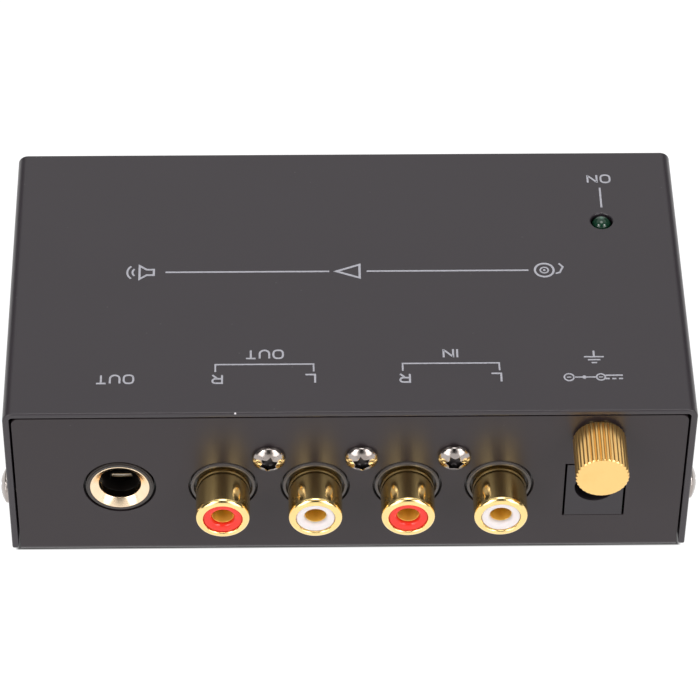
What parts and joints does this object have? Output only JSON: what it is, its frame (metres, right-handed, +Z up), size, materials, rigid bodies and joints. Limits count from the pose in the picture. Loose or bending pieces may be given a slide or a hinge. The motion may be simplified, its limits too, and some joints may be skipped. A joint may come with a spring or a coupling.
{
  "type": "phono preamp",
  "caption": "Small folded steel box with a row of phono sockets, a large jack, a power inlet and a knurled ground screw on one panel, and a power lamp on top.",
  "frame": {"origin": "middle of the whole object's box, on the surface the feet stand on", "axes": "+X along the connector panel to the right as its connectors are faced, -Y the way the connectors face, +Z up"},
  "size_m": [0.1066, 0.0652, 0.0325],
  "materials": {
    "cover_paint": "fine satin powder coat, warm dark grey",
    "tray_paint": "fine satin powder coat, warm dark grey",
    "nickel_screw": "nickel plate, polished",
    "foot_rubber": "matte",
    "socket_plastic": "satin moulded plastic, grey",
    "gold_plate": "gold flash plate, polished",
    "red_plastic": "moulded, semi gloss",
    "white_plastic": "moulded, semi gloss",
    "jack_plastic": "moulded black plastic",
    "spring_metal": "tinned spring bronze",
    "tinned_lead": "tinned copper",
    "lamp_lens": "tinted clear epoxy, dark green unlit",
    "spacer_nylon": "natural nylon",
    "board_green": "green solder mask",
    "post_steel": "zinc plated",
    "insulation_film": "translucent film",
    "chip_plastic": "moulded epoxy",
    "can_sleeve_blue": "shrink sleeve",
    "film_red": "dipped epoxy",
    "resistor_blue": "lacquer",
    "diode_black": "moulded epoxy",
    "wire_green": "insulated wire"
  },
  "bodies": {
    "chassis": {"top_cover": "cover_paint", "chassis_tray": "tray_paint", "cover_screws": "nickel_screw", "rubber_feet": "foot_rubber", "connector_screws": "nickel_screw", "socket_block": "socket_plastic", "jack_body": "jack_plastic", "jack_mouth_ring": "gold_plate", "jack_sleeve_contact": "spring_metal", "jack_terminals": "tinned_lead", "inlet_body": "jack_plastic", "inlet_centre_pin": "tinned_lead", "inlet_terminals": "tinned_lead", "ground_bush": "gold_plate", "ground_nut": "post_steel", "ground_lug": "tinned_lead", "ground_wire": "wire_green", "power_lamp": "lamp_lens", "lamp_leads": "tinned_lead", "lamp_spacer": "spacer_nylon", "circuit_board": "board_green", "board_posts": "post_steel", "board_screws": "post_steel", "insulating_sheet": "insulation_film", "left_amplifier_chip": "chip_plastic", "right_amplifier_chip": "chip_plastic", "chip_legs": "tinned_lead", "supply_capacitor": "can_sleeve_blue", "coupling_capacitors": "can_sleeve_blue", "film_capacitors": "film_red", "capacitor_leads": "tinned_lead", "resistors": "resistor_blue", "resistor_leads": "tinned_lead", "voltage_regulator": "chip_plastic", "regulator_legs": "tinned_lead", "polarity_diode": "diode_black", "diode_leads": "tinned_lead", "output_right_shell": "gold_plate", "output_right_insert": "red_plastic", "output_right_contact": "gold_plate", "output_left_shell": "gold_plate", "output_left_insert": "white_plastic", "output_left_contact": "gold_plate", "input_right_shell": "gold_plate", "input_right_insert": "red_plastic", "input_right_contact": "gold_plate", "input_left_shell": "gold_plate", "input_left_insert": "white_plastic", "input_left_contact": "gold_plate"},
    "ground_knob": {"ground_knob": "gold_plate"},
    "ground_washer": {"ground_washer": "gold_plate"},
    "jack_tip_spring": {"jack_tip_spring": "spring_metal"},
    "jack_ring_spring": {"jack_ring_spring": "spring_metal"},
    "inlet_contact_spring": {"inlet_contact_spring": "spring_metal"}
  },
  "joints": [
    {"name": "ground_washer_travel", "type": "slide", "parent": "chassis", "child": "ground_washer", "axis": [0, -1, 0], "range_m": [0, 0.0025]},
    {"name": "ground_knob_turn", "type": "hinge", "parent": "ground_washer", "child": "ground_knob", "pos_m": [0.0374, -0.02417, 0.0261], "axis": [0, -1, 0], "range_deg": [0, 1800]},
    {"name": "jack_tip_spring_flex", "type": "hinge", "parent": "chassis", "child": "jack_tip_spring", "pos_m": [-0.03496, -0.01252, 0.0201], "axis": [1, 0, 0], "range_deg": [0, 8], "stiffness_Nm_per_rad": 0.03},
    {"name": "jack_ring_spring_flex", "type": "hinge", "parent": "chassis", "child": "jack_ring_spring", "pos_m": [-0.03496, -0.01252, 0.0113], "axis": [-1, 0, 0], "range_deg": [0, 6], "stiffness_Nm_per_rad": 0.03},
    {"name": "inlet_spring_flex", "type": "hinge", "parent": "chassis", "child": "inlet_contact_spring", "pos_m": [0.0339, -0.01408, 0.0149], "axis": [0, 0, -1], "range_deg": [0, 3], "stiffness_Nm_per_rad": 0.02}
  ],
  "couplings": [
    {"joint": "ground_knob_turn", "follows": "ground_washer_travel", "rad_per_m": 12566}
  ]
}
